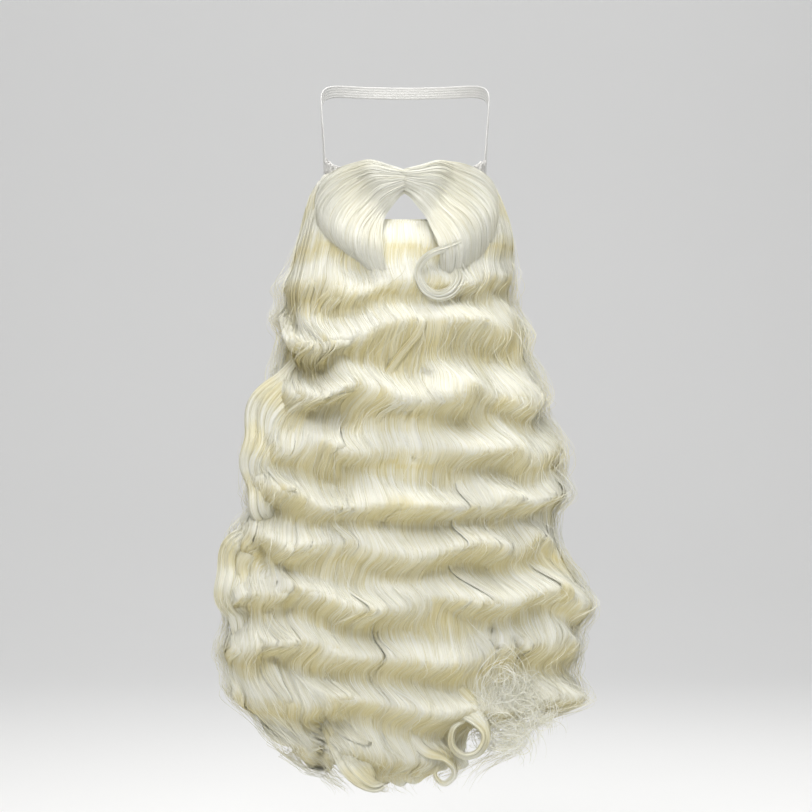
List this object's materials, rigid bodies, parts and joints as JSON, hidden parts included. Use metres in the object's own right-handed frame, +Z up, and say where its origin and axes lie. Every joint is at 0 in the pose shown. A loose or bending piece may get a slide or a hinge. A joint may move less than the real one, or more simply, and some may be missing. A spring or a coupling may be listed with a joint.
{
  "type": "long wavy costume beard with moustache",
  "caption": "Long costume beard with deep crosswise waves, curled ends and a moustache, on a cloth base with an elastic band round the back of the head.",
  "frame": {"origin": "where the wearer's chin rests in the cloth base", "axes": "+Z up, the wearer faces -Y, +X is to the right as seen from the front"},
  "size_m": [0.3489, 0.2508, 0.6724],
  "materials": {
    "cloth": "thin white woven cloth",
    "elastic": "flat white braided elastic",
    "hair": "ivory synthetic hair with a soft gloss"
  },
  "bodies": {
    "root": {"foundation": "cloth", "tab_left": "cloth", "tab_right": "cloth", "elastic_band": "elastic", "moustache": "hair", "jaw_hair": "hair", "hanging_hair": "hair"}
  },
  "joints": []
}
